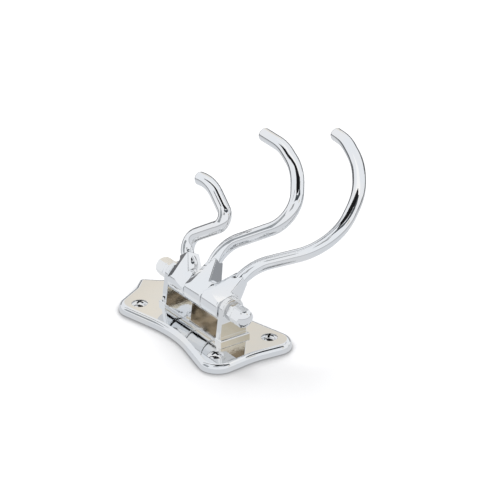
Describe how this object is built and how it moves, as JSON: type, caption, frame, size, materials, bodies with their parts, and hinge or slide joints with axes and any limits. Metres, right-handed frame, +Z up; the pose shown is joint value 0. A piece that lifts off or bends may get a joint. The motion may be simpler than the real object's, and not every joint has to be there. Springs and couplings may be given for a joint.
{
  "type": "swivel wall hook",
  "caption": "Chrome wall hook: a waisted back plate with a crest carries upright ears and an axle, on which round-bar hook arms of stepped length swing side to side.",
  "frame": {"origin": "Middle of the four wall screws, on the back of the plate, where it lies on the wall", "axes": "+Z up the wall, +X to the right as seen from the room, +Y into the wall, so the arms stand out along -Y"},
  "size_m": [0.1152, 0.0993, 0.0955],
  "materials": {
    "plate_chrome": "bright chrome plate on a smooth casting",
    "hook_chrome": "bright chrome plate on polished bar",
    "nut_chrome": "bright chrome plate, turned faces",
    "screw_chrome": "chrome plate, slightly satin",
    "washer_steel": "bright zinc-plated steel",
    "rod_steel": "turned steel"
  },
  "bodies": {
    "base": {"back_plate": "plate_chrome", "axle_rod": "rod_steel", "hub_washer_1": "washer_steel", "hub_washer_2": "washer_steel", "hub_washer_3": "washer_steel", "hub_washer_4": "washer_steel", "end_washer_top": "washer_steel", "end_washer_bottom": "washer_steel", "jam_nut_top": "nut_chrome", "jam_nut_bottom": "nut_chrome", "cap_nut_top": "nut_chrome", "cap_nut_bottom": "nut_chrome", "wall_screw_top_left": "screw_chrome", "wall_screw_top_right": "screw_chrome", "wall_screw_bottom_left": "screw_chrome", "wall_screw_bottom_right": "screw_chrome"},
    "short_arm": {"hook_short": "hook_chrome"},
    "medium_arm": {"hook_medium": "hook_chrome"},
    "long_arm": {"hook_long": "hook_chrome"}
  },
  "joints": [
    {"name": "swing_short", "type": "hinge", "parent": "base", "child": "short_arm", "pos_m": [0, -0.0187, 0.01356], "axis": [0, 0, 1], "range_deg": [-118, 62]},
    {"name": "swing_medium", "type": "hinge", "parent": "base", "child": "medium_arm", "pos_m": [0, -0.0187, 0], "axis": [0, 0, 1], "range_deg": [-133, 47]},
    {"name": "swing_long", "type": "hinge", "parent": "base", "child": "long_arm", "pos_m": [0, -0.0187, -0.01356], "axis": [0, 0, 1], "range_deg": [-150, 30]}
  ]
}
